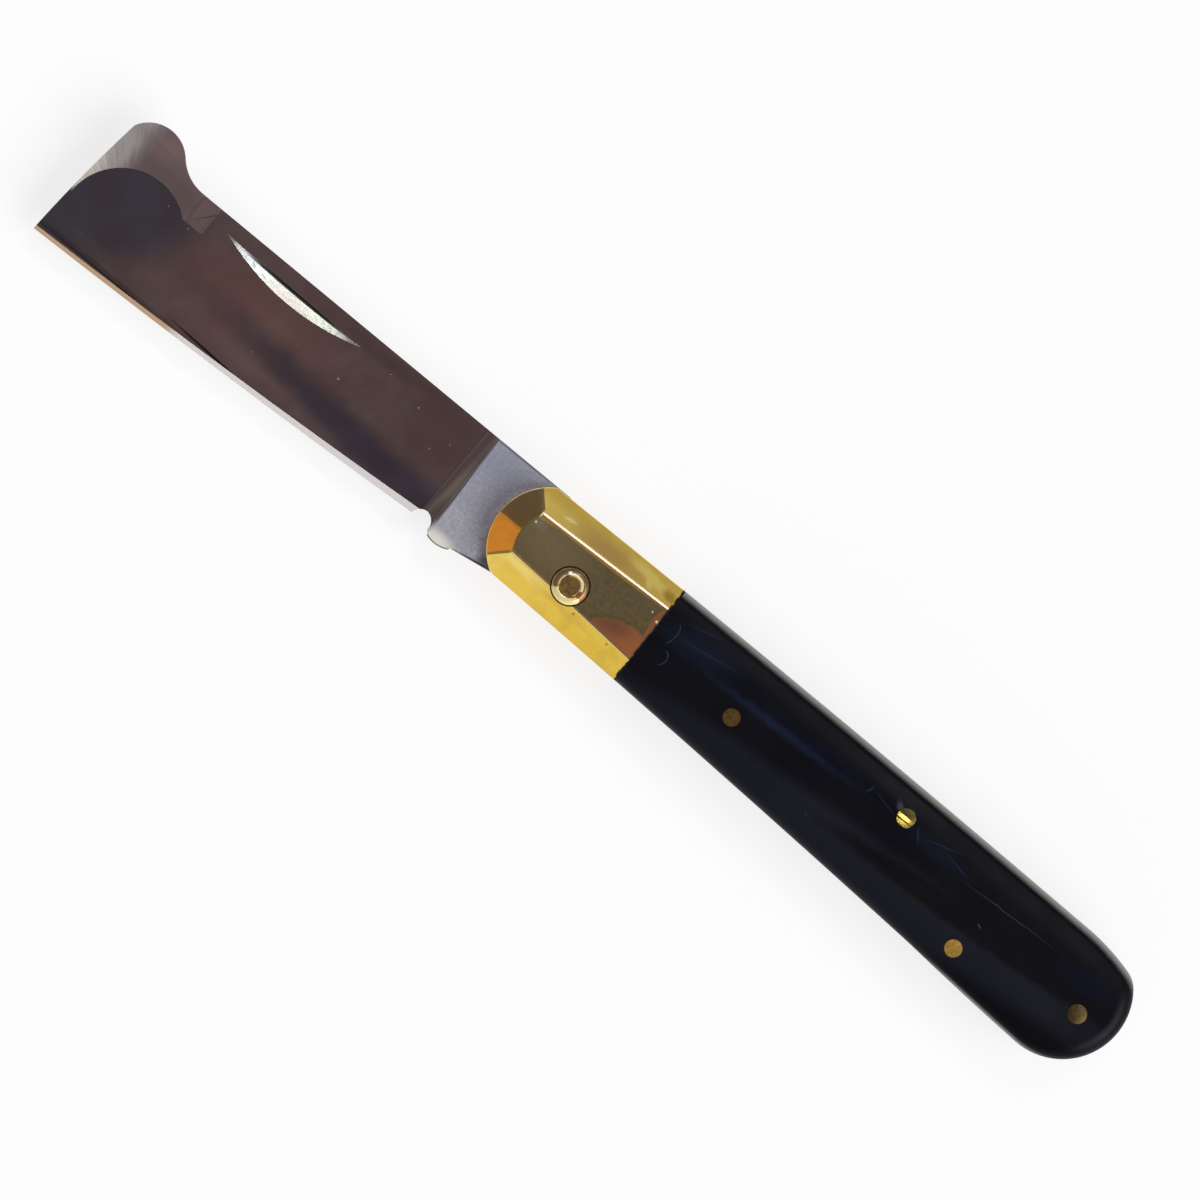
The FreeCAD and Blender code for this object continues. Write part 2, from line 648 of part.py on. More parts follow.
def make_blade():
    body = new_body("blade_form")
    choil_front = "choil_middle + choil_half_width"
    spur_back = ("spur_reach - spur_radius * cos(spur_back_angle)",
                 "spur_rise + spur_radius * sin(spur_back_angle)")
    sketch = new_sketch(body, "blade_outline", "XY_Plane")
    outline(sketch, [
        opened("flat_end", "seat_height"),
        opened("-closed_flat_length", "seat_height"),
        ("nose_reach + back_step", "-front_drop"),
        ("heel_reach", "-heel_drop"),
        ("kick_back", "-kick_back_drop", "kick_radius", LEFT),
        ("kick_front", "-kick_front_drop"),
        ("choil_back", "-choil_back_drop", "choil_radius", RIGHT),
        ("choil_middle", "choil_depth - choil_back_drop", "choil_radius", RIGHT),
        (choil_front, edge_height("choil_middle + choil_half_width"), "edge_radius", LEFT),
        ("blade_reach", edge_height("blade_reach"), "end_radius", LEFT),
        ("spur_reach + spur_radius * cos(spur_end_angle)", "spur_rise + spur_radius * sin(spur_end_angle)",
         "spur_radius", LEFT),
        spur_back,
        ("spring_reach", "front_rise + back_step"),
        ("spring_reach", "seat_height"),
        ("-flat_end", "seat_height", "tang_radius", LEFT),
    ])
    pad(body, sketch, "blade_thickness", symmetric=True)
    corner = Vector(*(value(length) for length in spur_back), 0)
    dress(body, "Fillet", "Radius", "spur_fillet",
          lambda edge: (middle(edge) - corner).Length < value("pin_clearance"))
    hole(body, "pivot_hole", "0", "0", "pivot_diameter + 2 * pivot_clearance")

    # Main grind, run out in a round plunge in front of the ricasso
    grind = new_sketch(body, "main_grind", "XZ_Plane", along="blade_thickness / 2", out="-grind_rise",
                       turn_axis=Vector(1, 0, 0), turn="atan(grind_slope)")
    far = "blade_reach + overrun"
    outline(grind, [
        ("plunge_reach + plunge_radius", "0"), (far, "0"),
        (far, "plunge_radius + overrun"), ("plunge_reach", "plunge_radius + overrun"),
        ("plunge_reach", "plunge_radius", "plunge_radius", LEFT)])
    pocket(body, grind)

    # Bark lifter: the spur thins out round an arc, square to the grind above and to the flat face below
    ground = "blade_thickness / 2 - (grind_rise + lifter_centre_drop) * grind_slope"
    for name, sign, floor, lean in (("ground", "", ground, "atan(grind_slope)"),
                                    ("flat", "-", "-blade_thickness / 2", "0")):
        lifter = new_sketch(body, "lifter_" + name, "XZ_Plane", across="blade_reach - lifter_inset",
                            along=floor, out="lifter_centre_drop", turn_axis=Vector(1, 0, 0), turn=lean)
        end = "lifter_radius + lifter_run"
        outline(lifter, [
            ("lifter_radius", "0"), (end, ("" if sign else "-") + "lifter_run * tan(lifter_slope)"),
            (end, sign + "overrun"), ("lifter_radius", sign + "overrun")])
        groove(body, lifter, "V_Axis", "lifter_sweep")

    # Cutting bevel, one face of a cone about the edge's own centre
    bevel = new_sketch(body, "cutting_bevel", "YZ_Plane", across="edge_radius - edge_drop",
                       along="-blade_thickness / 2", out="edge_middle")
    rim = "-edge_radius - overrun"
    top = "bevel_land + bevel_width * tan(bevel_slope)"
    outline(bevel, [
        (rim, "bevel_land - overrun * tan(bevel_slope)"), ("bevel_width - edge_radius", top), (rim, top)])
    groove(body, bevel, "V_Axis", "2 * asin((edge_middle - choil_middle) / (2 * edge_radius))", reverse=True)

    # Nail nick: the mark of a wheel with one flat face and one slanted face
    nick = new_sketch(body, "nail_nick", "YZ_Plane", across="front_rise - nick_drop",
                      along="blade_thickness / 2", out="blade_reach - nick_inset",
                      turn_axis=Vector(0, 1, 0), turn="nick_turn")
    floor = "(front_rise - nick_drop - grind_rise) * grind_slope - nick_depth"
    outline(nick, [
        ("0", floor), ("0", "overrun"), ("(%s - overrun) * nick_width / nick_depth" % floor, "overrun")])
    wheel_rise = floor + " + nick_wheel_radius"
    ends = [Vector(x, value(wheel_rise), 0) for x in (0, value("nick_width"))]
    axle = nick.addGeometry(Part.LineSegment(*ends), True)
    nick.addConstraint(Sketcher.Constraint("Horizontal", axle))
    hold(nick, "DistanceX", (-1, 1, axle, 1), "0")
    hold(nick, "DistanceY", (-1, 1, axle, 1), wheel_rise)
    hold(nick, "DistanceX", (axle, 1, axle, 2), "nick_width")
    groove(body, nick, "Axis0", "nick_sweep", symmetric=True)
    return body


def make_backspring():
    body = new_body("backspring")
    handle_layer(body, "-well", "well")
    face = "seat_height + spring_relief"
    boss = "spring_pin_rise - shank_diameter / 2 - boss_wall"
    block_foot = "shoulder_rise - rear_depth"
    below = "-butt_radius - butt_centre_drop - overrun"
    well = new_sketch(body, "blade_well", "XY_Plane")
    outline(well, [
        ("spring_reach - spring_gap", "front_rise + overrun"),
        ("spring_reach - spring_gap", "seat_height + spring_gap"),
        ("-seat_run", "seat_height + spring_gap"),
        ("-seat_run - relief_run", face),
        ("-spring_pin_reach + boss_half_width + boss_slope_run", face),
        ("-spring_pin_reach + boss_half_width", boss),
        ("-spring_pin_reach - boss_half_width", boss),
        ("-spring_pin_reach - boss_half_width - boss_slope_run", block_foot + " + boss_wall"),
        ("-block_reach", block_foot),
        ("-block_reach", below),
        ("nose_tip + overrun", below),
        ("nose_tip + overrun", "front_rise + overrun"),
    ])
    pocket(body, well)
    for name, place in (("spring_hole", SPRING_PIN), ("butt_hole", BUTT_PIN)):
        hole(body, name, *place, "shank_diameter + 2 * pin_clearance")
    return body


middles = [make_backspring(), make_pivot()]
for name, place in (("spring_pin", SPRING_PIN), ("butt_pin", BUTT_PIN)):
    middles.append(make_through_pin(name, place))
lowers = [make_liner(), make_bolster(), make_scale(), make_rosette()]
for name, place in (("lower_fore_scale_pin", FORE_PIN), ("lower_aft_scale_pin", AFT_PIN)):
    lowers.append(make_scale_pin(name, place))
for name, place in (("lower_fore_bolster_stud", FORE_STUD), ("lower_aft_bolster_stud", AFT_STUD)):
    lowers.append(make_stud(name, place))
blade_form = make_blade()
for thing in [blade_form] + middles + lowers:
    settle(thing)
doc.recompute()

# The blade's ground face, with the nick in it, is drawn as the lower one and its mirror image is used.
nodes = middles + lowers + [mirrored(blade_form, "blade")]
for thing in lowers:
    nodes.append(mirrored(thing, thing.Label.replace("lower", "upper")))
doc.recompute()

for thing in doc.Objects:
    if "Invalid" in thing.State or "Error" in thing.State:
        raise ValueError(thing.Label + " has failed")
for thing in nodes:
    if thing.Shape.isNull() or not thing.Shape.isValid():
        raise ValueError(thing.Label + " has no sound shape")

os.makedirs("parts", exist_ok=True)
for thing in nodes:
    thing.Shape.exportStep("parts/%s.step" % thing.Label)
    box = thing.Shape.BoundBox
    print("%-26s %d solid  %9.2f mm3  x %7.2f %7.2f  y %7.2f %7.2f  z %6.2f %6.2f" % (
        thing.Label, len(thing.Shape.Solids), thing.Shape.Volume,
        box.XMin, box.XMax, box.YMin, box.YMax, box.ZMin, box.ZMax))
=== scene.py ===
import json
from math import radians

import bpy
from mathutils import Matrix, Vector

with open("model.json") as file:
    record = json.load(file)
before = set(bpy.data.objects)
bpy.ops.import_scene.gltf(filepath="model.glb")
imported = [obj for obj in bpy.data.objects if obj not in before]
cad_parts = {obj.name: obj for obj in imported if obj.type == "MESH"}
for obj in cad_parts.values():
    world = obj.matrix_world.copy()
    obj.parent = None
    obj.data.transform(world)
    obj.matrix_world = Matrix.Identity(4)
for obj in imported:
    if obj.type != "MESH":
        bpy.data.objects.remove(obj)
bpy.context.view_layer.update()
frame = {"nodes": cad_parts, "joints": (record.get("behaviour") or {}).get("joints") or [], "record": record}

MM = 0.001
# The blade's pivot in the knife's own frame, in millimetres. Patterns are laid out in millimetres about
# it, with X to the blade's end, Y to the blade's back and Z up.
PIVOT = Vector(frame["joints"][0]["pos_m"]) / MM

# The photograph looks straight down, and these are its picture axes in the knife's own frame.
PICTURE_RIGHT = Vector((-0.78152, -0.62388, 0))
PICTURE_UP = Vector((0.62388, -0.78152, 0))
PICTURE_MIDDLE = Vector((-0.135, 0.886, 0))
PICTURE_PIXELS = 1200
# This scale holds at the height of the blade's upper side.
PIXELS_PER_MM = 7.85
BLADE_LEVEL = 7
CAMERA_HEIGHT = 1600
SENSOR = 36
CLIP_START = 10

# A limit for where a mark or a band isn't limited
ENDLESS = 1000
SMOOTH = {"interpolation_type": "SMOOTHSTEP"}
IN_COLOUR = {"data_type": "RGBA"}


def colour(text):
    """Turns an sRGB hex value into linear RGBA."""
    parts = [int(text[i:i + 2], 16) / 255 for i in (1, 3, 5)]
    return [c / 12.92 if c <= 0.04045 else ((c + 0.055) / 1.055) ** 2.4 for c in parts] + [1]


def add(tree, kind, settings=None, **inputs):
    """Adds a node, sets its properties, and fills its inputs with values or with other nodes' first
    outputs in use. An input goes by its name in lower case, with a 2 or 3 where several share it."""
    node = tree.nodes.new("ShaderNode" + kind)
    for key, what in (settings or {}).items():
        setattr(node, key, what)
    sockets, names = {}, []
    for socket in node.inputs:
        if socket.enabled:
            name = socket.name.lower().replace(" ", "_")
            names.append(name)
            count = names.count(name)
            sockets[name + (str(count) if count > 1 else "")] = socket
    for key, what in inputs.items():
        if isinstance(what, bpy.types.Node):
            what = next(s for s in what.outputs if s.enabled)
        if isinstance(what, bpy.types.NodeSocket):
            tree.links.new(what, sockets[key])
        else:
            sockets[key].default_value = what
    return node


def new_material(name):
    """An empty material, with its coordinates in millimetres about the pivot."""
    material = bpy.data.materials.new(name)
    material.use_nodes = True
    tree = material.node_tree
    tree.nodes.clear()
    coords = add(tree, "TexCoord")
    mm = add(tree, "Mapping", vector=coords.outputs["Object"], location=(-PIVOT.x, PIVOT.y, -PIVOT.z),
             scale=(1 / MM, -1 / MM, 1 / MM))
    return material, tree, mm


def facings(tree):
    """How far the surface faces to the blade's end (X), to the belly (Y) and up (Z)."""
    return add(tree, "SeparateXYZ", vector=add(tree, "TexCoord").outputs["Normal"]).outputs


def round_about(tree, vector, middle=(0, 0)):
    """How far a place lies from a middle, seen from above, and at which angle from X."""
    arm = add(tree, "VectorMath", {"operation": "SUBTRACT"}, vector=vector, vector2=(*middle, 0))
    along = add(tree, "SeparateXYZ", vector=arm).outputs
    flat_arm = add(tree, "CombineXYZ", x=along["X"], y=along["Y"])
    reach = add(tree, "VectorMath", {"operation": "LENGTH"}, vector=flat_arm)
    angle = add(tree, "Math", {"operation": "ARCTAN2"}, value=along["Y"], value2=along["X"])
    return reach, angle


def all_of(tree, *masks):
    """The places where every one of the masks holds."""
    whole = masks[0]
    for mask in masks[1:]:
        whole = add(tree, "Math", {"operation": "MULTIPLY"}, value=whole, value2=mask)
    return whole


def any_of(tree, *masks):
    """The places where at least one of the masks holds."""
    whole = masks[0]
    for mask in masks[1:]:
        whole = add(tree, "Math", {"operation": "MAXIMUM"}, value=whole, value2=mask)
    return whole


def band(tree, what, low, high, soft):
    """1 where a value lies between low and high, and 0 elsewhere. Its rims are soft to both sides."""
    rise = add(tree, "MapRange", SMOOTH, value=what, from_min=low - soft, from_max=low + soft)
    fall = add(tree, "MapRange", SMOOTH, value=what, from_min=high - soft, from_max=high + soft,
               to_min=1, to_max=0)
    return all_of(tree, rise, fall)


def ragged(tree, mm, grain, reach):
    """The same coordinates pushed about by noise, for marks whose rims wander."""
    noise = add(tree, "TexNoise", vector=mm, scale=1 / grain, detail=3.0)
    centred = add(tree, "VectorMath", {"operation": "SUBTRACT"}, vector=noise.outputs["Color"],
                  vector2=(0.5, 0.5, 0.5))
    return add(tree, "VectorMath", {"operation": "MULTIPLY_ADD"}, vector=centred,
               vector2=(2 * reach, 2 * reach, 0), vector3=mm)


def mark(tree, mm, middle, half_size, turn=0, soft=0.3, strength=1):
    """An oval mark that is 1 within and 0 without. Its rim fades over the soft share of its size."""
    own = add(tree, "Mapping", {"vector_type": "TEXTURE"}, vector=mm, location=(*middle, 0),
              rotation=(0, 0, radians(turn)), scale=(*half_size, ENDLESS))
    reach = add(tree, "VectorMath", {"operation": "LENGTH"}, vector=own)
    return add(tree, "MapRange", SMOOTH, value=reach, from_min=1 - soft, from_max=1 + soft,
               to_min=strength, to_max=0)


def spots(tree, mm, places):
    """Small round spots, each given by its middle and its radius."""
    return any_of(tree, *[mark(tree, mm, middle, (radius, radius), soft=0.5, strength=0.8)
                          for middle, radius in places])


def paint(tree, mm, base, marks):
    """Lays marks over a base colour, the last on top. A mark is its tint, its strength, its middle and
    half size in millimetres, its turn in degrees, and the share of it that is soft."""
    for tint, strength, *shape in marks:
        base = add(tree, "Mix", IN_COLOUR, factor=mark(tree, mm, *shape, strength=strength), a=base,
                   b=colour(tint))
    return base


def mottle(tree, mm, base, tint, strength, grain):
    """Lays uneven blotches of a tint over a base colour, over about half of it."""
    noise = add(tree, "TexNoise", vector=mm, scale=1 / grain, detail=4.0, roughness=0.6)
    blotches = add(tree, "MapRange", value=noise, from_min=0.42, from_max=0.6, to_min=0, to_max=strength)
    return add(tree, "Mix", IN_COLOUR, factor=blotches, a=base, b=colour(tint))


def uneven(tree, mm, grain, low, high, detail):
    """A roughness that wanders between two values, as a polish by hand leaves it."""
    noise = add(tree, "TexNoise", vector=mm, scale=1 / grain, detail=detail)
    return add(tree, "MapRange", value=noise, from_min=0.35, from_max=0.65, to_min=low, to_max=high)


def streaks(tree, mm, spacing, length, turn=0):
    """Fine uneven lines, as a stone or a mop leaves them, that run along a turned X."""
    along = add(tree, "Mapping", vector=mm, rotation=(0, 0, radians(-turn)))
    drawn = add(tree, "Mapping", vector=along, scale=(1 / length, 1 / spacing, 1 / length))
    return add(tree, "TexNoise", vector=drawn, scale=1.0, detail=2.0)


def raised(tree, pattern, height):
    """A pattern as a height in millimetres."""
    return add(tree, "Math", {"operation": "MULTIPLY"}, value=pattern, value2=height)


def dents(tree, mm, grain, height, detail=2.0, coarse=0.5):
    """Shallow ups and downs, from their width and their height in millimetres."""
    noise = add(tree, "TexNoise", vector=mm, scale=1 / grain, detail=detail, roughness=coarse)
    return raised(tree, noise, height)


def metal(tree, tone, roughness, height, parts=()):
    """A metal surface from its colour, its roughness and its height in millimetres. Parts of it have
    finishes of their own: a mask, a tone, a roughness, a height, and the share that is dull, where a worn or
    oxidised skin scatters the light and where painted highlights, reflections and shade show in the tone.
    The dull skin ends before the tone does, so that no pale line shows round a dark part."""
    dull = 0.0
    for mask, part_tone, part_roughness, part_height, part_dull in parts:
        tone = add(tree, "Mix", IN_COLOUR, factor=mask, a=tone, b=part_tone)
        roughness = add(tree, "Mix", factor=mask, a=roughness, b=part_roughness)
        height = add(tree, "Mix", factor=mask, a=height, b=part_height)
        inner = add(tree, "Math", {"operation": "POWER"}, value=mask, value2=3)
        dull = add(tree, "Mix", factor=inner, a=dull, b=part_dull)
    bright = add(tree, "Math", {"operation": "SUBTRACT"}, value=1, value2=dull) if parts else 1.0
    bump = add(tree, "Bump", strength=1.0, distance=MM, height=height)
    shader = add(tree, "BsdfPrincipled", metallic=bright, base_color=tone, roughness=roughness,
                 normal=bump)
    add(tree, "OutputMaterial", surface=shader)


# The blade's main grind carries painted reflections of the room in brown and blue bands, and painted shade
# lines where it meets the cutting bevel
BLADE_REFLECTIONS = [
    ("#f2cfc6", 0.6, (52, 2.8), (9, 3.5), 0, 0.9),
    ("#b4a6a8", 0.5, (24, 5), (7, 5), 0, 0.8),
    ("#aaa0a4", 0.5, (35, 8.2), (8, 0.9), -1, 0.6),
    ("#f0dedc", 0.6, (52, -3.4), (9, 1.4), 2, 0.8),
    ("#8d92a8", 0.85, (36, -2.0), (18.5, 1.9), 6.5, 0.7),
    ("#8f94aa", 0.8, (25, -3.4), (13, 2.4), 4, 0.7),
    ("#959fb2", 0.95, (78, 2), (14, 8.5), -32, 0.3),
    ("#b4b8b6", 0.6, (71.5, -4.5), (6, 0.6), 6, 0.8),
]
BLADE_SHADE_LINES = [
    ("#5a5a60", 0.4, (71.5, -5.75), (12.5, 0.35), 0.8, 0.6),
    ("#1c1c20", 0.7, (71.5, -6.04), (12, 0.1), 0.8, 0.5),
    ("#17171a", 0.9, (54, -5.55), (6.5, 0.14), 3.1, 0.4),
]
# The cutting bevel faces to the belly at least this far. Its pale tone is a painted reflection of bright
# light, and near the blade's end a painted tan reflection of something warm.
BEVEL_FACES_FROM = 0.33
BEVEL_TAN_REFLECTION = [("#c3a27e", 0.95, (84, -6), (24, 20), 0, 0.06)]
# Specks of first rust that a cloth has rubbed bright: middle and radius
SPECKS = [((29.3, 5.7), 0.12), ((39.6, 2.2), 0.16), ((25, 2.5), 0.1), ((34.7, 6.8), 0.1),
          ((23.2, 4.5), 0.09), ((66.5, 5.2), 0.1), ((70.2, 5.9), 0.09), ((50.4, -2), 0.08)]
# The plunge starts where the ricasso ends, and widens by the lean towards the belly.
PLUNGE, PLUNGE_END, PLUNGE_LEAN = 18.7, 20.8, 0.03
PLUNGE_STAINS = [
    ("#585053", 0.9, (19.3, 7), (2, 3.5), 0, 0.7),
    ("#564c4a", 0.8, (19.2, -4), (0.9, 2.6), 0, 0.6),
    ("#4e3f40", 0.95, (21.2, 0), (1.2, 30), 5, 0.35),
]
RICASSO_STAINS_AND_LIGHT = [
    ("#979cab", 0.8, (16.5, 6.5), (3.5, 2.5), 0, 0.8),
    ("#b9b8bd", 0.7, (16.8, -2.6), (3, 2), 0, 0.8),
    # Painted light that lifts the bolster's shadow off the ricasso
    ("#d8dae2", 0.8, (9.5, 1.5), (4.4, 7), 0, 0.3),
    ("#50443e", 0.8, (9.9, -5), (1.6, 1.2), 20, 0.6),
]
# Painted shade lines along the ricasso's lower edge, its back edge and its end at the plunge
RICASSO_SHADE_LINES = [
    ("#2c2a2c", 0.85, (12.3, -5.3), (2.7, 0.17), -10.8, 0.5),
    ("#4a4e5a", 0.7, (14, 8.9), (6, 0.22), 0, 0.5),
    ("#4a4a50", 0.6, (18.62, 0), (0.1, 8), 0, 0.5),
]
# The kick is rubbed pale, and painted shade darkens its round rim, a little way in from the kick's arc.
KICK_RUBBED = (17.2, -6.0), (2.7, 1.0), 0, 0.8, 0.85
KICK_MIDDLE, KICK_RADIUS, KICK_SHADE_WIDTH, KICK_FROM = (16.99, -2.57), 4, 0.14, -5.6
# The bark lifter is cut round this arc and brushed outwards from its middle. It starts and turns pale
# at these distances along the blade.
LIFTER_MIDDLE, LIFTER_RADIUS, LIFTER_FIRST_ANGLE = (73, -0.5), 8.1, 4
LIFTER_START, LIFTER_END_TO, LIFTER_PALE_FROM = 64.8, 67.4, 77.3
# Behind the arc the brushing stops at this height, and fades.
LIFTER_FOOT, LIFTER_FOOT_TO = 5.8, 71.5
# Its end, short of this height, is worn into the grind.
LIFTER_BACK = 9.6
# A thin band of painted shade lies along the arc, this far inside and outside it
LIFTER_RIM_IN, LIFTER_RIM_OUT = 0.12, 0.06
LIFTER_TONES = [
    ("#6c5e5c", 0.8, (72.5, 8.6), (4, 1.8), 0, 0.8),
    ("#665853", 0.8, (69, 7.6), (2, 2), 0, 0.8),
    ("#84706a", 0.7, (75, 11.2), (2, 1.5), 0, 0.8),
]
# The pale end of the lifter carries a painted sheen, for the light its strokes catch
LIFTER_PAINTED_SHEEN = [
    ("#dcd7cb", 0.95, (82.2, 2.6), (2.6, 5.5), -14, 0.6),
    ("#8c7f7e", 0.7, (78.6, 11.8), (2.4, 1.6), 0, 0.8),
]
NICK_TONES = [
    ("#c0c6c4", 0.7, (57.5, 7), (3, 1.2), 0, 0.5),
    ("#a0978a", 0.6, (50, 6.2), (3.5, 0.8), 0, 0.7),
    ("#bcc2b0", 0.7, (45, 6.9), (3.5, 1.2), 0, 0.6),
    ("#6a5f5c", 0.9, (62, 7.9), (1.5, 0.7), 0, 0.6),
    ("#7d7470", 0.8, (40.8, 7.1), (1.7, 0.6), 0, 0.6),
    ("#6c747a", 0.7, (57, 6.9), (0.5, 0.09), 35, 0.5),
    ("#6c747a", 0.7, (55.2, 6.5), (0.5, 0.08), 20, 0.5),
    ("#7c8488", 0.6, (58.6, 7.2), (0.3, 0.08), 60, 0.5),
]
# The nick's floor leans to the back at least this far, and its upper wall lies in its own shadow.
NICK_FACES_TO = -0.045
NICK_WALL = (50.5, 7.27), (7.9, 0.25), 1.5, 0.3


def ricasso_parts(tree, mm, place, height):
    """The ricasso: carbon steel left satin by emery, which looks pale and even beside the grind. The
    emery's grain is under 0.1 mm, and is drawn 0.4 mm wide so that it shows."""
    satin = dents(tree, mm, grain=0.45, height=0.02, detail=4.0, coarse=0.6)
    # Stains, with painted light beside the bolster
    tone = paint(tree, ragged(tree, mm, grain=1.2, reach=0.6), colour("#abadb6"), RICASSO_STAINS_AND_LIGHT)
    tone = mottle(tree, mm, tone, "#8b8d95", strength=0.45, grain=0.4)
    # painted shade lines along the ricasso's edges
    tone = paint(tree, mm, tone, RICASSO_SHADE_LINES)
    ricasso = band(tree, place["X"], -ENDLESS, PLUNGE, 0.05)
    kick = all_of(tree, ricasso, mark(tree, mm, *KICK_RUBBED))
    kick_reach, _ = round_about(tree, ragged(tree, mm, grain=1.0, reach=0.1), KICK_MIDDLE)
    kick_rim_shade = all_of(tree, ricasso, band(tree, kick_reach, KICK_RADIUS - KICK_SHADE_WIDTH, ENDLESS, 0.06),
                      band(tree, place["Y"], -ENDLESS, KICK_FROM, 0.2))
    return [
        (ricasso, tone, 0.35, satin, 0.6),
        (kick, colour("#f0eddc"), 0.35, height, 0.8),
        # painted shade along the kick's rim
        (kick_rim_shade, colour("#4a463c"), 0.4, height, 0.7),
    ]


def plunge_part(tree, mm, place, upper, height):
    """The plunge, where the wheel ran out, keeps its coarser brown grinding."""
    leaning = add(tree, "Math", {"operation": "MULTIPLY_ADD"}, value=place["Y"], value2=PLUNGE_LEAN,
                  value3=place["X"])
    plunge = all_of(tree, band(tree, leaning, -ENDLESS, PLUNGE_END, 0.3), upper,
                    band(tree, place["X"], PLUNGE, ENDLESS, 0.05))
    tone = paint(tree, mm, colour("#706a60"), PLUNGE_STAINS)
    return plunge, tone, 0.15, height, 0.9


def lifter_parts(tree, mm, place, facing, upper, height):
    """The bark lifter: brushed on a belt, in strokes that fan out from the arc. At the blade's end they
    carry a painted sheen for the light they catch. The strokes are about 0.1 mm apart, and are drawn 0.2 mm
    apart so that they show."""
    reach, angle = round_about(tree, mm, LIFTER_MIDDLE)
    round_arc = add(tree, "Math", {"operation": "MULTIPLY"}, value=angle, value2=LIFTER_RADIUS)
    strokes = streaks(tree, add(tree, "CombineXYZ", x=reach, y=round_arc), spacing=0.2, length=6.0)
    stroke_height = raised(tree, strokes, 0.006)
    tone = paint(tree, mm, colour("#786668"), LIFTER_TONES)
    sheen_tone = paint(tree, mm, colour("#a09c98"), LIFTER_PAINTED_SHEEN)
    dark_strokes = add(tree, "MapRange", value=strokes, from_min=0.4, from_max=0.6, to_min=0.35, to_max=0)
    sheen_tone = add(tree, "Mix", IN_COLOUR, factor=dark_strokes, a=sheen_tone, b=colour("#6f6a66"))
    sweep = band(tree, angle, radians(LIFTER_FIRST_ANGLE), ENDLESS, radians(5))
    bare = all_of(tree, band(tree, place["X"], -ENDLESS, LIFTER_FOOT_TO, 1.5),
                  band(tree, place["Y"], -ENDLESS, LIFTER_FOOT, 0.3))
    brushed = add(tree, "Math", {"operation": "SUBTRACT"}, value=1, value2=bare)
    lifter = all_of(tree, band(tree, reach, LIFTER_RADIUS, ENDLESS, 0.05), sweep, upper, brushed,
                    band(tree, place["X"], LIFTER_START, ENDLESS, 0.15))
    pale = all_of(tree, lifter, band(tree, place["X"], LIFTER_PALE_FROM, ENDLESS, 1.6))
    end = all_of(tree, band(tree, place["X"], LIFTER_START, LIFTER_END_TO, 0.4),
                 band(tree, place["Y"], LIFTER_FOOT, LIFTER_BACK, 0.15),
                 band(tree, facing["Z"], -0.1, ENDLESS, 0.05))
    arc = band(tree, reach, LIFTER_RADIUS - LIFTER_RIM_IN, LIFTER_RADIUS + LIFTER_RIM_OUT, 0.05)
    rim = all_of(tree, arc, sweep, upper, brushed)
    return [
        (lifter, tone, 0.5, stroke_height, 0.0),
        (end, colour("#5c4b49"), 0.4, height, 0.85),
        # painted sheen at the blade's end
        (pale, sheen_tone, 0.5, stroke_height, 0.7),
        # painted shade along the arc
        (rim, colour("#3a3438"), 0.4, height, 0.2),
    ]


def nick_parts(tree, mm, facing, upper, height):
    """The nail nick: cut by a wheel and left bright. Its slanted floor leans towards the back, as
    nothing else on this side does."""
    nick = all_of(tree, band(tree, facing["Y"], -ENDLESS, NICK_FACES_TO, 0.015), upper)
    tone = paint(tree, ragged(tree, mm, grain=0.8, reach=0.3), colour("#a9a9a1"), NICK_TONES)
    cut = dents(tree, mm, grain=0.6, height=0.012, detail=3.0)
    wall = all_of(tree, upper, mark(tree, mm, *NICK_WALL))
    return [
        (nick, tone, 0.28, cut, 0.0),
        (wall, colour("#141416"), 0.4, height, 0.7),
    ]


def blade_finish():
    """The blade: high-carbon steel, ground and mirror polished. It looks dark where it mirrors the dark
    ceiling, and painted reflections of the room wander over its colour. The stone's lines are finer than the
    picture shows, and are drawn 0.25 mm apart."""
    material, tree, mm = new_material("mirror_ground_carbon_steel")
    facing = facings(tree)
    place = add(tree, "SeparateXYZ", vector=mm).outputs
    upper = add(tree, "MapRange", value=facing["Z"], from_min=0.2, from_max=0.3)
    tone = mottle(tree, mm, colour("#cec3c0"), "#b9a6a4", strength=0.3, grain=2.2)
    # Painted reflections of the room, then painted shade lines along the cutting bevel
    tone = paint(tree, ragged(tree, mm, grain=3.0, reach=1.0), tone, BLADE_REFLECTIONS)
    tone = paint(tree, mm, tone, BLADE_SHADE_LINES)
    height = raised(tree, streaks(tree, mm, spacing=0.25, length=9.0), 0.0012)
    smears = uneven(tree, mm, grain=6, low=0.1, high=0.16, detail=3.0)
    bevel = all_of(tree, band(tree, facing["Y"], BEVEL_FACES_FROM, ENDLESS, 0.03), upper)
    bevel_reflection_tone = paint(tree, mm, colour("#e4e0dd"), BEVEL_TAN_REFLECTION)
    metal(tree, tone, smears, height, [
        # mask, tone, roughness, height, dull share
        (spots(tree, mm, SPECKS), colour("#978c8a"), 0.4, height, 0.8),
        *ricasso_parts(tree, mm, place, height),
        plunge_part(tree, mm, place, upper, height),
        *lifter_parts(tree, mm, place, facing, upper, height),
        *nick_parts(tree, mm, facing, upper, height),
        # The cutting bevel's pale and tan tones are painted reflections
        (bevel, bevel_reflection_tone, 0.25, height, 0.7),
    ])
    return material


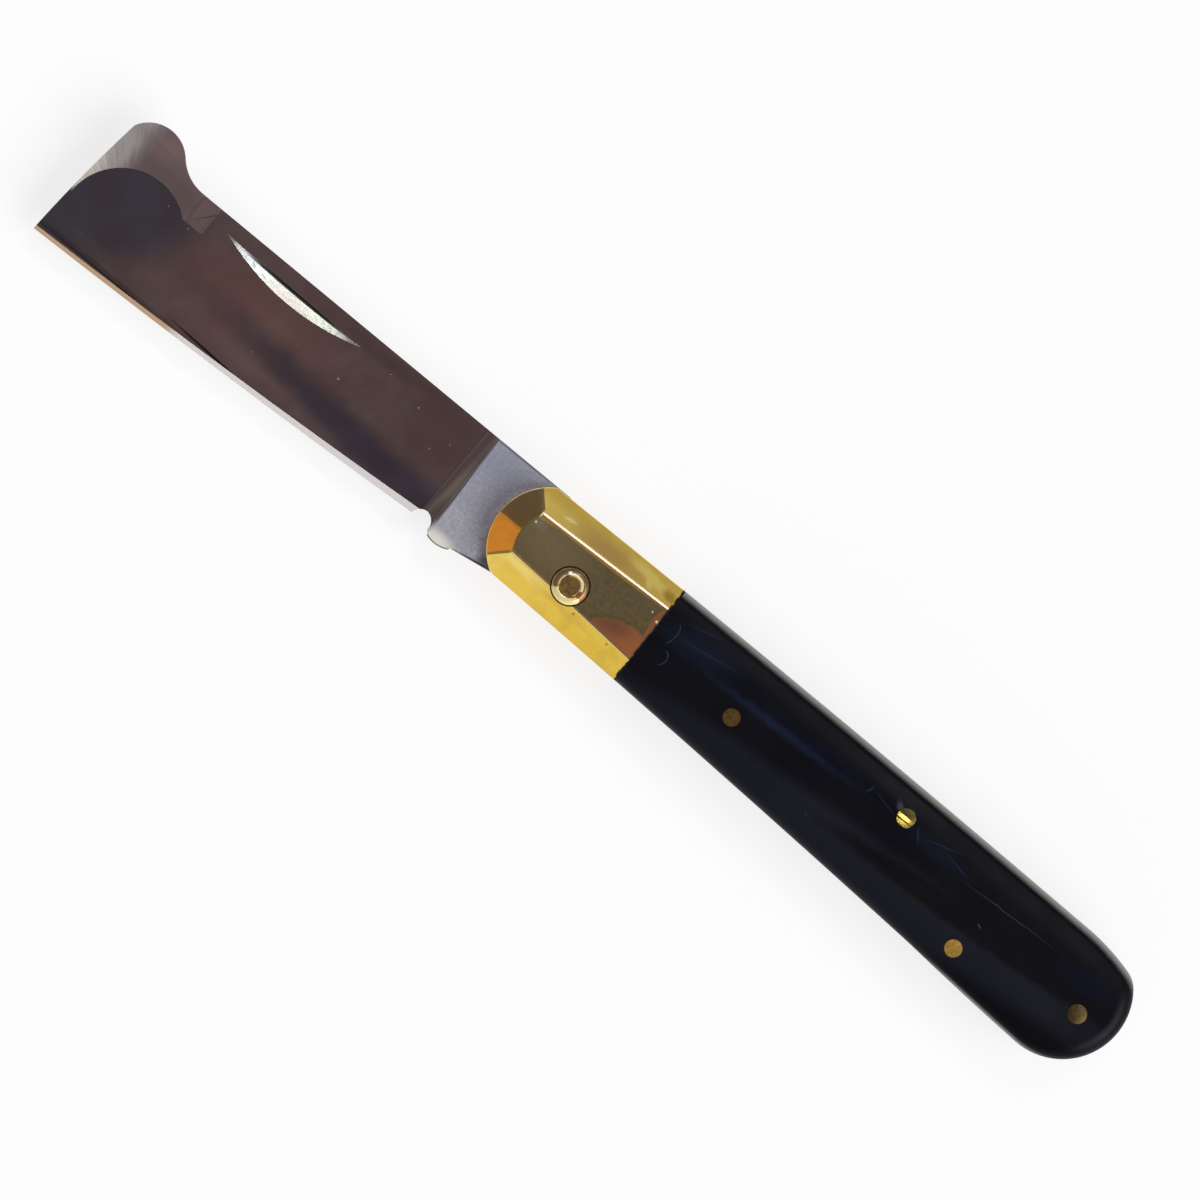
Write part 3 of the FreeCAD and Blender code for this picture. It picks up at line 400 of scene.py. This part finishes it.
# Painted reflections of the studio on the bolster: light and dark patches on its bevels and its flat top
UPPER_BEVEL_REFLECTIONS = [
    ("#ffe07a", 0.7, (7, 6), (5, 1.2), 0, 0.6),
    ("#c09c66", 0.8, (-1, 6.3), (5, 1.3), 0, 0.8),
    ("#ffe684", 0.8, (-7.3, 7.3), (3, 0.6), 8, 0.6),
    ("#ffeca0", 0.7, (-7.6, 6.4), (0.7, 0.35), 30, 0.6),
    ("#e5c597", 0.9, (11.4, 4.7), (2.3, 2.7), 0, 0.3),
    ("#a8843c", 0.8, (-10.8, 6.8), (1.1, 0.6), 10, 0.5),
]
LOWER_BEVEL_REFLECTIONS = [
    ("#f6e08c", 0.8, (6.5, -2.1), (4, 0.55), 4, 0.6),
    ("#eec84c", 0.7, (6, -4), (5, 1.4), 0, 0.8),
    ("#c99c34", 0.6, (-1, -2.9), (5, 0.35), 6, 0.7),
    ("#d4a83c", 0.7, (-2, -6), (11, 0.7), 0, 0.6),
]
TOP_REFLECTIONS = [
    ("#ffe490", 0.7, (5, 2.6), (4.5, 3.2), 0, 0.9),
    ("#fff0b0", 0.8, (8.3, 3.9), (1.3, 0.7), 20, 0.7),
]
CASTING_PITS = [
    ("#2c2210", 0.85, (-2.5, -2.5), (0.16, 0.16), 0, 0.5),
    ("#2c2210", 0.85, (-8.2, -2.9), (0.16, 0.16), 0, 0.5),
]
# A painted reflection reddens the top's corner by the joint, and runs up along the joint.
RED_REFLECTION_CORNER = (-10.2, -3.6), (6.3, 4.5), 0, 0.1
RED_REFLECTION_SPIKE = (-12.8, 2.6), (2.1, 3.4), -12, 0.12
RED_REFLECTION_TONES = [
    ("#ae6a3a", 0.8, (-11, -2), (2.2, 3), 0, 0.8),
    ("#7a4c34", 0.8, (-7, -0.4), (2.6, 1.0), -5, 0.9),
]
GLINTS = [((-10.2, 3.97), 0.14), ((-11.4, 3.3), 0.18), ((8.5, 3.7), 0.16)]
# Painted light on the bolster: a gilt line of reflection under the upper ridge, a gleam at its fore end, and
# a pale highlight on the bevel above
RIDGE_FOOT_REFLECTION = (-1.5, 4.98), (10.6, 0.2), -0.9, 0.5, 0.8
RIDGE_GLEAM = (8, 4.75), (2.6, 0.5), -3, 0.6, 0.8
BEVEL_HIGHLIGHT = (5.2, 6.55), (1.3, 0.25), -8, 0.4, 0.8
# The flat top faces up at least this far. The facets beside it, short of the nose, are told apart by
# how far they face to the belly: from, to, and how soft.
TOP_FACES_FROM = 0.995
NOSE_FROM = 8.6
# The ridges carry painted highlights, and a painted dark line lies where the flat turns down into the lower
# ridge
FACETS = {
    "lower_bevel": (0.01, ENDLESS, 0.01),
    "lower_ridge": (0.28, 0.55, 0.04),
    "lower_seam": (0.01, 0.26, 0.02),
    "ridge": (-0.56, -0.02, 0.01),
    "ridge_core": (-0.38, -0.06, 0.03),
}
# Painted shade darkens the collar's seat and the joint with the scale.
SEAT_SHADE_RADIUS = 2.6
JOINT_SHADE_TO = -11.6


def bolster_finish():
    """The bolsters: cast brass, buffed by hand, so their flats aren't quite flat and mirror the studio
    unevenly. Painted reflections lie over their bevels and flat top, and painted highlights along their
    ridges. The mop's lines are drawn 0.3 mm apart so that they show."""
    material, tree, mm = new_material("buffed_cast_brass")
    facing = facings(tree)
    place = add(tree, "SeparateXYZ", vector=mm).outputs
    wander = ragged(tree, mm, grain=1.5, reach=0.4)
    tone = mottle(tree, mm, colour("#e7c865"), "#d6b660", strength=0.5, grain=2.0)
    # painted reflections on the bevels and the flat top
    tone = paint(tree, wander, tone, UPPER_BEVEL_REFLECTIONS)
    lower_tone = mottle(tree, mm, colour("#e0ba34"), "#c9a022", strength=0.6, grain=2.0)
    lower_tone = paint(tree, wander, lower_tone, LOWER_BEVEL_REFLECTIONS)
    lower_tone = paint(tree, mm, lower_tone, CASTING_PITS)
    top_tone = mottle(tree, mm, colour("#dcc272"), "#b4a876", strength=0.6, grain=0.6)
    top_tone = paint(tree, wander, top_tone, TOP_REFLECTIONS)
    top_tone = paint(tree, mm, top_tone, CASTING_PITS)
    red_reflection_tone = paint(tree, mm, colour("#94603c"), RED_REFLECTION_TONES)
    lines = raised(tree, streaks(tree, mm, spacing=0.3, length=8.0), 0.002)
    waves = dents(tree, mm, grain=3.5, height=0.05, detail=1.0)
    height = add(tree, "Math", {"operation": "ADD"}, value=lines, value2=waves)

    beside_top = band(tree, place["X"], -ENDLESS, NOSE_FROM, 0.1)
    facet = {name: all_of(tree, band(tree, facing["Y"], *limits), beside_top)
             for name, limits in FACETS.items()}
    top = band(tree, facing["Z"], TOP_FACES_FROM, ENDLESS, 0.003)
    blotch = ragged(tree, mm, grain=1.6, reach=0.5)
    red_reflection = all_of(tree, top, any_of(tree, mark(tree, blotch, *RED_REFLECTION_CORNER),
                                    mark(tree, blotch, *RED_REFLECTION_SPIKE)))
    gleam = all_of(tree, top, mark(tree, wander, *RIDGE_GLEAM))
    ridge_foot_reflection = all_of(tree, top, mark(tree, mm, *RIDGE_FOOT_REFLECTION))
    from_pivot, _ = round_about(tree, mm)
    seat_shade = band(tree, from_pivot, -ENDLESS, SEAT_SHADE_RADIUS, 0.03)
    along = add(tree, "SeparateXYZ", vector=ragged(tree, mm, grain=0.7, reach=0.35)).outputs["X"]
    joint_shade = band(tree, along, -ENDLESS, JOINT_SHADE_TO, 0.08)
    metal(tree, tone, 0.1, height, [
        # mask, tone, roughness, height, dull share
        (facet["lower_bevel"], lower_tone, 0.12, height, 0.0),
        # painted highlight on the lower ridge, and a painted dark line above it
        (facet["lower_ridge"], colour("#ecd882"), 0.3, height, 0.6),
        (facet["lower_seam"], colour("#6e4e2e"), 0.3, height, 0.85),
        (top, top_tone, 0.12, height, 0.0),
        # painted red reflection on the top by the joint
        (red_reflection, red_reflection_tone, 0.25, height, 0.55),
        # painted gleam, painted reflection under the ridge, glints and a painted highlight on the bevel
        (gleam, colour("#b08c4c"), 0.3, height, 0.5),
        (ridge_foot_reflection, colour("#a8741a"), 0.3, height, 0.8),
        (spots(tree, mm, GLINTS), colour("#fff0c0"), 0.3, height, 0.9),
        (mark(tree, wander, *BEVEL_HIGHLIGHT), colour("#ecdc8c"), 0.3, height, 0.85),
        # painted highlights along the upper ridge
        (facet["ridge"], colour("#cda848"), 0.3, height, 0.8),
        (facet["ridge_core"], colour("#fff8e4"), 0.3, height, 0.9),
        # painted shade round the collar and in the joint with the scale
        (seat_shade, colour("#33240e"), 0.5, height, 0.8),
        (joint_shade, colour("#15110e"), 0.5, height, 0.6),
    ])
    return material


# Painted reflections on the collar's dome: dark and orange patches, a pale side towards the belly, a bright
# crescent and a glint
COLLAR_REFLECTIONS = [
    # tone, inner and outer radius, first and last angle, dull share
    ("#7a6440", (1.2, 2.3), (-39, 51), 0.5),
    ("#6a5838", (1.8, 2.35), (51, 180), 0.5),
    ("#94683a", (1.3, 2.4), (-180, -158), 0.6),
    ("#94683a", (1.3, 2.4), (171, 180), 0.6),
    ("#ecdc98", (1.5, 2.45), (-158, -39), 0.75),
    ("#fff0b4", (1.25, 1.75), (51, 171), 0.8),
    ("#fffaf0", (1.5, 1.9), (45, 60), 0.9),
]


def collar_finish():
    """The collars: turned brass. Their dome carries painted reflections, pale on the side of the belly, with
    a bright crescent and a glint."""
    material, tree, mm = new_material("turned_brass_collar")
    tone = mottle(tree, mm, colour("#ecd07a"), "#cfa65a", strength=0.5, grain=0.8)
    grain = dents(tree, mm, grain=0.8, height=0.02)
    reach, angle = round_about(tree, ragged(tree, mm, grain=0.8, reach=0.1))
    parts = []
    for tint, radii, angles, dull in COLLAR_REFLECTIONS:
        # A part that ends at the half turn goes on past it, so that no seam shows there.
        first, last = [radians(a) * (ENDLESS if abs(a) == 180 else 1) for a in angles]
        where = all_of(tree, band(tree, reach, *radii, 0.06), band(tree, angle, first, last, radians(5)))
        parts.append((where, colour(tint), 0.3, grain, dull))
    metal(tree, tone, 0.16, grain, parts)
    return material


def pin_finish(name, tint, stain, roughness, turn, lines_height):
    """A brass pin, filed level with the scale and rubbed dull. Its file marks are 0.3 mm apart."""
    material, tree, mm = new_material(name)
    tone = mottle(tree, mm, colour(tint), stain, strength=0.7, grain=0.6)
    lines = streaks(tree, mm, spacing=0.3, length=3.0, turn=turn)
    metal(tree, tone, roughness, raised(tree, lines, lines_height))
    return material


# The spring pin's furrows run along the handle, side by side, with a line of painted shade between them.
FURROWS_FROM, FURROW_WIDTH, FURROW_SLOPE = 2.57, 0.59, -0.263
LINE_FROM, LINE_TO = -0.12, 0.08


def spring_pin_finish():
    """The spring pin: brass, planished with a hammer that left two furrows in its face. Each slopes
    evenly down towards the back, and mirrors the lamp."""
    material, tree, mm = new_material("planished_bright_brass")
    across = add(tree, "SeparateXYZ", vector=mm).outputs["Y"]
    second = FURROWS_FROM + FURROW_WIDTH
    furrows = band(tree, across, FURROWS_FROM, second + FURROW_WIDTH, 0.03)
    between = band(tree, across, second + LINE_FROM, second + LINE_TO, 0.03)
    from_first = add(tree, "Math", {"operation": "SUBTRACT"}, value=across, value2=FURROWS_FROM)
    saw = add(tree, "Math", {"operation": "FLOORED_MODULO"}, value=from_first, value2=FURROW_WIDTH)
    hammered = dents(tree, mm, grain=0.9, height=0.01)
    tone = mottle(tree, mm, colour("#ad9b52"), "#86702e", strength=0.6, grain=0.7)
    metal(tree, tone, 0.2, hammered, [
        # mask, tone, roughness, height, dull share
        (furrows, colour("#c8b04c"), 0.2, raised(tree, saw, FURROW_SLOPE), 0.0),
        # painted shade in the step between the furrows
        (between, colour("#5c4a10"), 0.3, hammered, 0.8),
    ])
    return material


# Painted reflections and sheen on the crown, in navy and slate bands
CROWN_REFLECTIONS = [
    ("#15171f", 0.9, (-48, -5), (40, 3.8), -2, 0.3),
    ("#020204", 0.9, (-68, -1.8), (24, 1.5), -3.5, 0.3),
    ("#0c1224", 0.8, (-18, 4), (5, 1.6), -8, 0.8),
    ("#101a30", 0.8, (-32, 2.4), (9, 0.5), -1.5, 0.9),
    ("#020314", 0.95, (-37, 3.7), (9.5, 0.6), 0, 0.4),
    ("#080d1c", 0.8, (-57, 2.7), (4.5, 1.0), 3, 0.7),
    ("#04051a", 0.8, (-82.5, 1.5), (3.5, 1.1), -5, 0.7),
]
# Scratches on the crown, and first a painted highlight line along it. Real scratches are a few hundredths of
# a millimetre wide, and these are drawn two to four times as wide so that they show.
SCRATCHES_AND_HIGHLIGHT = [
    # a painted highlight line
    ("#4a4e5c", 0.5, (-69.3, 2.1), (5.4, 0.045), -2, 0.8),
    ("#1e2738", 0.5, (-18.7, 4.0), (4.2, 0.14), -8, 0.9),
    ("#1e2738", 0.4, (-17.3, 6.3), (2.3, 0.12), -13, 0.9),
    ("#2a3346", 0.7, (-45.9, 3.6), (0.09, 0.6), 20, 0.8),
    ("#252d42", 0.5, (-48.5, 3.4), (1.6, 0.08), 14, 0.8),
    ("#2c3550", 0.5, (-54.2, 2.9), (0.9, 0.1), 55, 0.8),
    ("#2c3550", 0.4, (-57.6, 3.7), (1.9, 0.08), -16, 0.8),
    ("#2c3550", 0.4, (-60.6, 2.9), (1.6, 0.07), 10, 0.8),
    ("#4a4c55", 0.5, (-50.2, 4.3), (0.6, 0.35), 40, 0.8),
    ("#4a4e58", 0.5, (-67.5, -1.4), (0.3, 0.08), 30, 0.6),
    ("#3a3e48", 0.5, (-41.5, -4.0), (0.2, 0.1), 0, 0.6),
]
# Curls in the crown by the joint: middle, radius, and the oval that bounds what shows of the ring
CURLS = [((-12.2, 3.4), 2.3, (-14.4, 3.5), (0.7, 1.8)), ((-14.3, 0.1), 1.1, (-15.1, 0.3), (0.8, 1.1))]
CURL_HALF_WIDTH = 0.05
# The crown's rims carry a painted grey highlight, placed by how far they face to the belly: along the back,
# and along the belly's end
BACK_RIM_HIGHLIGHT = -ENDLESS, -0.73, 0.27
BELLY_RIM_HIGHLIGHT = 0.86, ENDLESS, 0.14
BELLY_RIM_ALONG = -83, -67, 4


def scale_finish():
    """The scales: black cast resin, wheeled to a soft polish, so their shine is broad. Painted reflections
    in navy and slate lie over the crown, and its rims carry a painted grey highlight."""
    material, tree, mm = new_material("polished_black_resin")
    facing = facings(tree)
    place = add(tree, "SeparateXYZ", vector=mm).outputs
    tone = mottle(tree, mm, colour("#03040b"), "#010106", strength=0.6, grain=4.0)
    # painted reflections on the crown
    tone = paint(tree, ragged(tree, mm, grain=1.6, reach=0.5), tone, CROWN_REFLECTIONS)
    wander = ragged(tree, mm, grain=1.2, reach=0.25)
    # scratches, and a painted highlight line
    tone = paint(tree, wander, tone, SCRATCHES_AND_HIGHLIGHT)
    for middle, radius, shown_at, shown_half in CURLS:
        reach, _ = round_about(tree, wander, middle)
        ring = band(tree, reach, radius - CURL_HALF_WIDTH, radius + CURL_HALF_WIDTH, 0.05)
        curl = all_of(tree, ring, mark(tree, mm, shown_at, shown_half, soft=0.4, strength=0.6))
        tone = add(tree, "Mix", IN_COLOUR, factor=curl, a=tone, b=colour("#3c465a"))
    outward = band(tree, facing["Z"], 0.12, ENDLESS, 0.1)
    # painted grey highlights on the crown's rims
    back_rim_highlight = all_of(tree, band(tree, facing["Y"], *BACK_RIM_HIGHLIGHT), outward)
    belly_rim_highlight = all_of(tree, band(tree, facing["Y"], *BELLY_RIM_HIGHLIGHT), outward,
                       band(tree, place["X"], *BELLY_RIM_ALONG))
    rims = any_of(tree, back_rim_highlight, belly_rim_highlight)
    # painted grey highlight on the rims
    tone = add(tree, "Mix", IN_COLOUR, factor=rims, a=tone, b=colour("#8c8e86"))
    waves = dents(tree, mm, grain=5, height=0.06)
    bump = add(tree, "Bump", strength=1.0, distance=MM, height=waves)
    worn = uneven(tree, mm, grain=8, low=0.36, high=0.46, detail=4.0)
    shader = add(tree, "BsdfPrincipled", metallic=0.0, roughness=worn, base_color=tone, normal=bump,
                 specular_ior_level=0.1)
    add(tree, "OutputMaterial", surface=shader)
    return material


def rolled_steel(name, tint, stain, roughness):
    """Rolled sheet, satin from its emery, which draws its shine out along the handle. The emery's lines
    are finer than the picture shows, and are drawn 0.2 mm apart."""
    material, tree, mm = new_material(name)
    tone = mottle(tree, mm, colour(tint), stain, strength=0.6, grain=2.5)
    metal(tree, tone, roughness, raised(tree, streaks(tree, mm, spacing=0.2, length=12.0), 0.006))
    return material


# A piece's finish goes by a word in its node's name, or else by its material slot. The hidden bolster
# studs share the finish of the scale pins that stand beside them.
FINISH_BY_WORD = {
    "pivot_pin": pin_finish("turned_brass_pivot", "#c4a45e", "#8c7240", 0.25, 0, 0.004),
    "spring_pin": spring_pin_finish(),
    "butt_pin": pin_finish("rubbed_dull_brass", "#6d5d39", "#504529", 0.35, 40, 0.01),
    "rosette": collar_finish(),
    "fore": pin_finish("filed_dull_brass", "#745a34", "#503c22", 0.35, 15, 0.01),
    "aft": pin_finish("filed_bright_brass", "#e2b859", "#ba8c3c", 0.35, 80, 0.01),
}
FINISH_BY_SLOT = {
    "blade_steel": blade_finish(),
    "bolster_brass": bolster_finish(),
    "black_grip": scale_finish(),
    "liner_metal": rolled_steel("satin_liner_steel", "#c4c6ca", "#9c9a98", 0.32),
    "spring_steel": rolled_steel("blued_spring_steel", "#a9acb2", "#7c7f8a", 0.28),
}
for part in frame["record"]["subparts"]:
    words = [word for word in FINISH_BY_WORD if word in part["node"]]
    finish = FINISH_BY_WORD[words[0]] if words else FINISH_BY_SLOT[part["material_slot"]]
    for slot in frame["nodes"][part["node"]].material_slots:
        slot.material = finish

# The floor is pale paper. Most of its light is its own to the camera and in reflections, which keeps
# it near white with the object's shadow on it.
FLOOR_SIZE = 6
FLOOR_OWN_LIGHT = 0.75


def lay_floor():
    """Lays the paper floor under the knife."""
    bpy.ops.mesh.primitive_plane_add(size=FLOOR_SIZE)
    floor = bpy.context.object
    floor.name = "floor"
    paper = bpy.data.materials.new("pale_paper")
    paper.use_nodes = True
    tree = paper.node_tree
    tree.nodes.clear()
    ray = add(tree, "LightPath").outputs
    seen = any_of(tree, ray["Is Camera Ray"], ray["Is Glossy Ray"], ray["Is Transmission Ray"])
    share = add(tree, "Math", {"operation": "MULTIPLY"}, value=seen, value2=FLOOR_OWN_LIGHT)
    matt = add(tree, "BsdfDiffuse", color=colour("#fbfbfb"))
    white = add(tree, "Emission", color=(1, 1, 1, 1), strength=1.0)
    add(tree, "OutputMaterial", surface=add(tree, "MixShader", fac=share, shader=matt, shader2=white))
    floor.data.materials.append(paper)


# The studio: a dark ceiling, a pale horizon, and soft boxes and cards between. A card's place is its
# turn about the upright axis, from X towards Y, and its lean from straight up, in degrees.
CEILING = (0.15, 0.145, 0.22)
HORIZON, HORIZON_FROM, HORIZON_SOFT = (0.9, 0.9, 0.9), 79, 5
CARDS = [
    # colour, middle (turn, lean), half size, soft edge
    ((0.25, 0.25, 0.27), (90, 45), (80, 22), 14),
    ((1.0, 0.98, 0.95), (90, 69), (70, 6), 3),
    ((0.58, 0.56, 0.5), (-90, 69), (70, 5), 3),
    ((0.13, 0.115, 0.1), (-20, 50), (20, 16), 3),
    ((0.69, 0.34, 0.19), (21, 50), (20, 16), 3),
    ((0.12, 0.083, 0.08), (90, 13), (60, 8), 5),
]
LAMPS = [
    # name, turn, lean, strength, spread
    ("key", -90, 29.5, 0.4, 15),
    ("fill", 180, 45, 2.7, 50),
]


def light_studio():
    """Paints the studio that the metal mirrors, and hangs its lamps."""
    world = bpy.data.worlds.new("studio")
    bpy.context.scene.world = world
    world.use_nodes = True
    tree = world.node_tree
    tree.nodes.clear()
    way = add(tree, "SeparateXYZ", vector=add(tree, "TexCoord").outputs["Generated"]).outputs
    turn = add(tree, "Math", {"operation": "ARCTAN2"}, value=way["Y"], value2=way["X"])
    lean = add(tree, "Math", {"operation": "ARCCOSINE"}, value=way["Z"])
    sky = (*CEILING, 1)
    for tint, middle, half, soft in CARDS:
        sides = [band(tree, angle, radians(centre - reach), radians(centre + reach), radians(soft))
                 for angle, centre, reach in zip((turn, lean), middle, half)]
        sky = add(tree, "Mix", IN_COLOUR, factor=all_of(tree, *sides), a=sky, b=(*tint, 1))
    low = band(tree, lean, radians(HORIZON_FROM), ENDLESS, radians(HORIZON_SOFT))
    sky = add(tree, "Mix", IN_COLOUR, factor=low, a=sky, b=(*HORIZON, 1))
    add(tree, "OutputWorld", surface=add(tree, "Background", color=sky, strength=1.0))
    for name, lamp_turn, lamp_lean, strength, spread in LAMPS:
        lamp = bpy.data.lights.new(name, "SUN")
        lamp.energy = strength
        lamp.angle = radians(spread)
        thing = bpy.data.objects.new(name, lamp)
        thing.rotation_euler = (0, radians(lamp_lean), radians(lamp_turn))
        bpy.context.scene.collection.objects.link(thing)


def set_camera():
    """Sets the camera straight above the knife, where the photograph's was."""
    camera = bpy.data.objects.new("camera", bpy.data.cameras.new("camera"))
    back = PICTURE_RIGHT.cross(PICTURE_UP)
    axes = Matrix((PICTURE_RIGHT, PICTURE_UP, back)).transposed().to_4x4()
    stand = PICTURE_MIDDLE + Vector((0, 0, CAMERA_HEIGHT))
    camera.matrix_world = Matrix.Translation(stand * MM) @ axes
    camera.data.sensor_width = SENSOR
    camera.data.lens = PIXELS_PER_MM * (CAMERA_HEIGHT - BLADE_LEVEL) * SENSOR / PICTURE_PIXELS
    camera.data.clip_start = CLIP_START * MM
    bpy.context.scene.collection.objects.link(camera)
    bpy.context.scene.camera = camera


lay_floor()
light_studio()
set_camera()
bpy.context.scene.view_settings.view_transform = "Standard"
